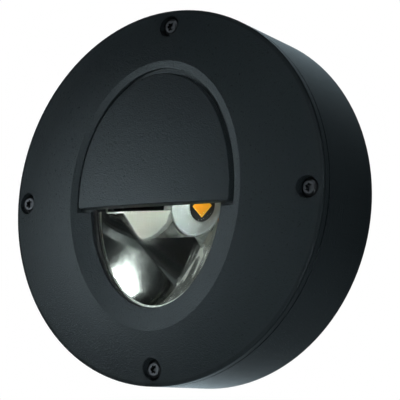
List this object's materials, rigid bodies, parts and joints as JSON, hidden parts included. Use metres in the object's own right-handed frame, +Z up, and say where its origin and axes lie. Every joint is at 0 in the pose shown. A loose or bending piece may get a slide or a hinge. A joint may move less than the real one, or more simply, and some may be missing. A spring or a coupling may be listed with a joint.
{
  "type": "wall light",
  "caption": "Round surface-mounted outdoor wall light: a drum with a domed screwed cover, an elliptical mouth half closed by a fixed hood, and a bright reflector below a light source.",
  "frame": {"origin": "centre of the flat back face, on the wall", "axes": "+Y into the wall, so the light faces -Y; +Z up; +X to the right as seen from the front"},
  "size_m": [0.16, 0.0511, 0.16],
  "materials": {
    "powder_coat": "fine-textured matt powder coat",
    "black_steel": "blackened, satin",
    "zinc_steel": "zinc plated",
    "seal_rubber": "matt",
    "clear_glass": "polished, clear",
    "bright_aluminium": "metallised, mirror bright",
    "collar_plastic": "frosted white",
    "board_mask": "white solder mask",
    "base_black": "dark, glossy",
    "phosphor": "yellow-orange phosphor in silicone",
    "pad_silicone": "soft grey silicone",
    "driver_plastic": "moulded, fine texture",
    "terminal_plastic": "natural white",
    "brass": "plain",
    "mains_insulation": "extruded",
    "led_insulation": "extruded",
    "earth_insulation": "extruded"
  },
  "bodies": {
    "root": {"housing": "powder_coat", "front_cover": "powder_coat", "hood": "powder_coat", "cover_screws": "black_steel", "cover_screw_seals": "seal_rubber", "cover_gasket": "seal_rubber", "hood_screws": "zinc_steel", "lens_glass": "clear_glass", "lens_gasket": "seal_rubber", "reflector": "bright_aluminium", "reflector_screws": "zinc_steel", "thermal_pad": "pad_silicone", "led_board": "board_mask", "led_base": "base_black", "led_emitter": "phosphor", "led_holder": "collar_plastic", "led_board_screws": "zinc_steel", "driver_case": "driver_plastic", "driver_lid": "driver_plastic", "driver_screws": "zinc_steel", "terminal_block": "terminal_plastic", "terminal_screws": "brass", "terminal_fixing_screws": "zinc_steel", "cable_grommet": "seal_rubber", "earth_lug": "brass", "earth_screw": "brass", "earth_lead": "earth_insulation", "mains_leads": "mains_insulation", "led_leads": "led_insulation"}
  },
  "joints": []
}
